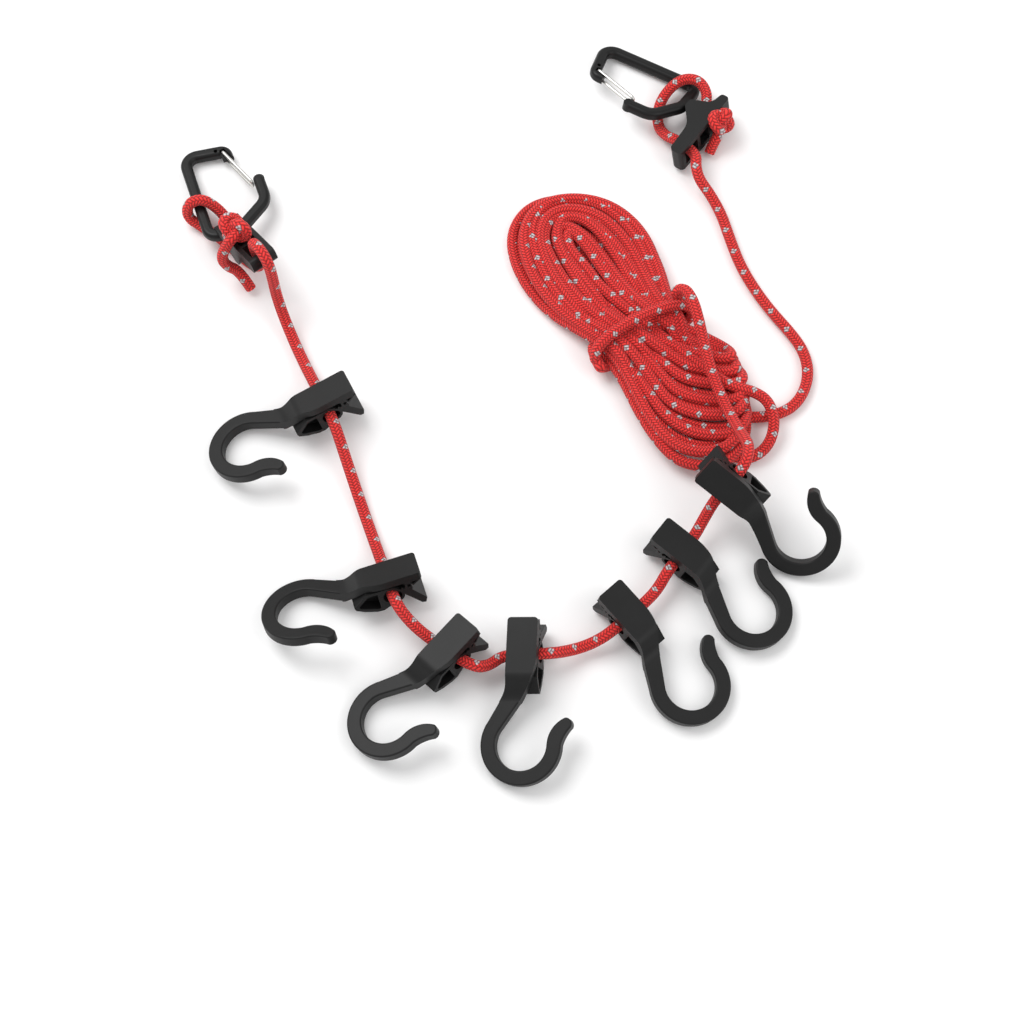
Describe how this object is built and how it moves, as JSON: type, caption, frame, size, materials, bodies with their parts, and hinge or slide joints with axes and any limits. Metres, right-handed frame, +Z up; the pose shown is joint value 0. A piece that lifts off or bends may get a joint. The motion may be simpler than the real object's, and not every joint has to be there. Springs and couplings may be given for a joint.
{
  "type": "travel clothesline",
  "caption": "Elastic red braided travel clothesline with black sliding hook-clips, a line tensioner and wire-gate carabiner at each end, and the spare cord tied in a hank.",
  "frame": {"origin": "centre of the hard parts' footprint, on the plane they rest on", "axes": "+Z up; +Y towards the end with the tied hank and second carabiner; +X towards the side where the last hooks lie"},
  "size_m": [0.2928, 0.3545, 0.0415],
  "materials": {
    "black_plastic": "fine moulded grain, matte black",
    "black_frame": "satin black coating",
    "steel_wire": "bright drawn wire",
    "red_cord": "16-strand braid with pale reflective tracer flecks"
  },
  "bodies": {
    "cord": {"cord_hank": "red_cord", "cord_line_1": "red_cord", "cord_line_2": "red_cord", "cord_loop_1": "red_cord", "cord_loop_2": "red_cord", "cord_loose_loop": "red_cord", "cord_tail_1": "red_cord", "cord_tail_2": "red_cord", "cord_knot_1": "red_cord", "cord_knot_2": "red_cord", "carabiner_1_frame": "black_frame", "carabiner_2_frame": "black_frame", "tensioner_1": "black_plastic", "tensioner_2": "black_plastic"},
    "jaw_1": {"jaw_1": "black_plastic"},
    "hook_1": {"hook_1": "black_plastic"},
    "jaw_2": {"jaw_2": "black_plastic"},
    "hook_2": {"hook_2": "black_plastic"},
    "jaw_3": {"jaw_3": "black_plastic"},
    "hook_3": {"hook_3": "black_plastic"},
    "jaw_4": {"jaw_4": "black_plastic"},
    "hook_4": {"hook_4": "black_plastic"},
    "jaw_5": {"jaw_5": "black_plastic"},
    "hook_5": {"hook_5": "black_plastic"},
    "jaw_6": {"jaw_6": "black_plastic"},
    "hook_6": {"hook_6": "black_plastic"},
    "jaw_7": {"jaw_7": "black_plastic"},
    "hook_7": {"hook_7": "black_plastic"},
    "gate_1": {"carabiner_1_gate": "steel_wire"},
    "gate_2": {"carabiner_2_gate": "steel_wire"}
  },
  "joints": [
    {"name": "slide_1", "type": "slide", "parent": "cord", "child": "jaw_1", "axis": [0.4025, -0.8608, 0.3114], "range_m": [-0.008, 0]},
    {"name": "clip_1", "type": "hinge", "parent": "jaw_1", "child": "hook_1", "pos_m": [-0.07071, -0.00748, 0.01497], "axis": [-0.4025, 0.8608, -0.3114], "range_deg": [0, 14], "stiffness_Nm_per_rad": 0.06, "springref_deg": -20.05},
    {"name": "slide_2", "type": "slide", "parent": "cord", "child": "jaw_2", "axis": [0.251, -0.8501, 0.463], "range_m": [-0.002, 0.0012]},
    {"name": "clip_2", "type": "hinge", "parent": "jaw_2", "child": "hook_2", "pos_m": [-0.04079, -0.09029, 0.01287], "axis": [-0.251, 0.8501, -0.463], "range_deg": [0, 14], "stiffness_Nm_per_rad": 0.06, "springref_deg": -20.05},
    {"name": "slide_3", "type": "slide", "parent": "cord", "child": "jaw_3", "axis": [0.6853, -0.676, 0.2709], "range_m": [-0.0004, 0.0007]},
    {"name": "clip_3", "type": "hinge", "parent": "jaw_3", "child": "hook_3", "pos_m": [-0.01628, -0.11734, 0.0129], "axis": [-0.6853, 0.676, -0.2709], "range_deg": [0, 14], "stiffness_Nm_per_rad": 0.06, "springref_deg": -20.05},
    {"name": "slide_4", "type": "slide", "parent": "cord", "child": "jaw_4", "axis": [0.9672, -0.0704, 0.2441], "range_m": [-0.002, 0.0013]},
    {"name": "clip_4", "type": "hinge", "parent": "jaw_4", "child": "hook_4", "pos_m": [0.01091, -0.11608, 0.01262], "axis": [-0.9672, 0.0704, -0.2441], "range_deg": [0, 14], "stiffness_Nm_per_rad": 0.06, "springref_deg": -20.05},
    {"name": "slide_5", "type": "slide", "parent": "cord", "child": "jaw_5", "axis": [0.7364, 0.6745, -0.0537], "range_m": [-0.002, 0.002]},
    {"name": "clip_5", "type": "hinge", "parent": "jaw_5", "child": "hook_5", "pos_m": [0.04964, -0.10166, 0.01192], "axis": [-0.7364, -0.6745, 0.0537], "range_deg": [0, 14], "stiffness_Nm_per_rad": 0.06, "springref_deg": -20.05},
    {"name": "slide_6", "type": "slide", "parent": "cord", "child": "jaw_6", "axis": [0.6009, 0.7933, -0.0985], "range_m": [-0.002, 0.0003]},
    {"name": "clip_6", "type": "hinge", "parent": "jaw_6", "child": "hook_6", "pos_m": [0.07192, -0.07442, 0.01246], "axis": [-0.6009, -0.7933, 0.0985], "range_deg": [0, 4], "stiffness_Nm_per_rad": 0.06, "springref_deg": -20.05},
    {"name": "slide_7", "type": "slide", "parent": "cord", "child": "jaw_7", "axis": [0.5916, 0.4936, 0.6375], "range_m": [-0.0004, 0.002]},
    {"name": "clip_7", "type": "hinge", "parent": "jaw_7", "child": "hook_7", "pos_m": [0.09225, -0.04897, 0.02907], "axis": [-0.5916, -0.4936, -0.6375], "range_deg": [0, 14], "stiffness_Nm_per_rad": 0.06, "springref_deg": -20.05},
    {"name": "gate_1", "type": "hinge", "parent": "cord", "child": "gate_1", "pos_m": [-0.1285, 0.11908, 0.00369], "axis": [0.0503, -0.1445, -0.9882], "range_deg": [0, 25], "stiffness_Nm_per_rad": 0.02, "springref_deg": -22.92},
    {"name": "gate_2", "type": "hinge", "parent": "cord", "child": "gate_2", "pos_m": [0.04505, 0.15873, 0.00935], "axis": [0.1495, 0.28, 0.9483], "range_deg": [0, 25], "stiffness_Nm_per_rad": 0.02, "springref_deg": -22.92}
  ]
}
